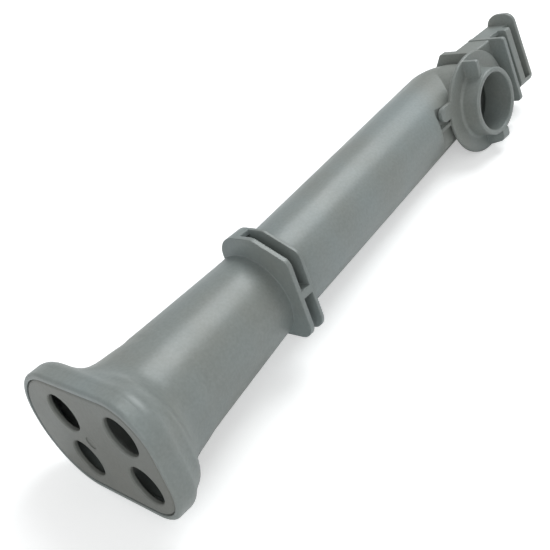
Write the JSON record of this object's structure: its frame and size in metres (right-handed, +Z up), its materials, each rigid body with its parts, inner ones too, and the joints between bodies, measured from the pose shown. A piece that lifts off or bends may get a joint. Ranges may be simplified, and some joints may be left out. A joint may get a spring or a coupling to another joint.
{
  "type": "dishwasher wash arm feed tube",
  "caption": "Moulded grey water tube with a ported docking foot at one end, a slotted collar, and a flanged spigot for a wash arm beside an end hook.",
  "frame": {"origin": "middle of the base, on the surface that the part lies on", "axes": "+X from the docking foot to the hook, +Z up as the part lies on its side, +Y away from the spigot's mouth"},
  "size_m": [0.2878, 0.0808, 0.0553],
  "materials": {
    "tube_plastic": "fine spark-eroded satin, grey polypropylene",
    "plate_plastic": "satin, grey polypropylene"
  },
  "bodies": {
    "root": {"feed_tube": "tube_plastic", "inlet_plate": "plate_plastic"}
  },
  "joints": []
}
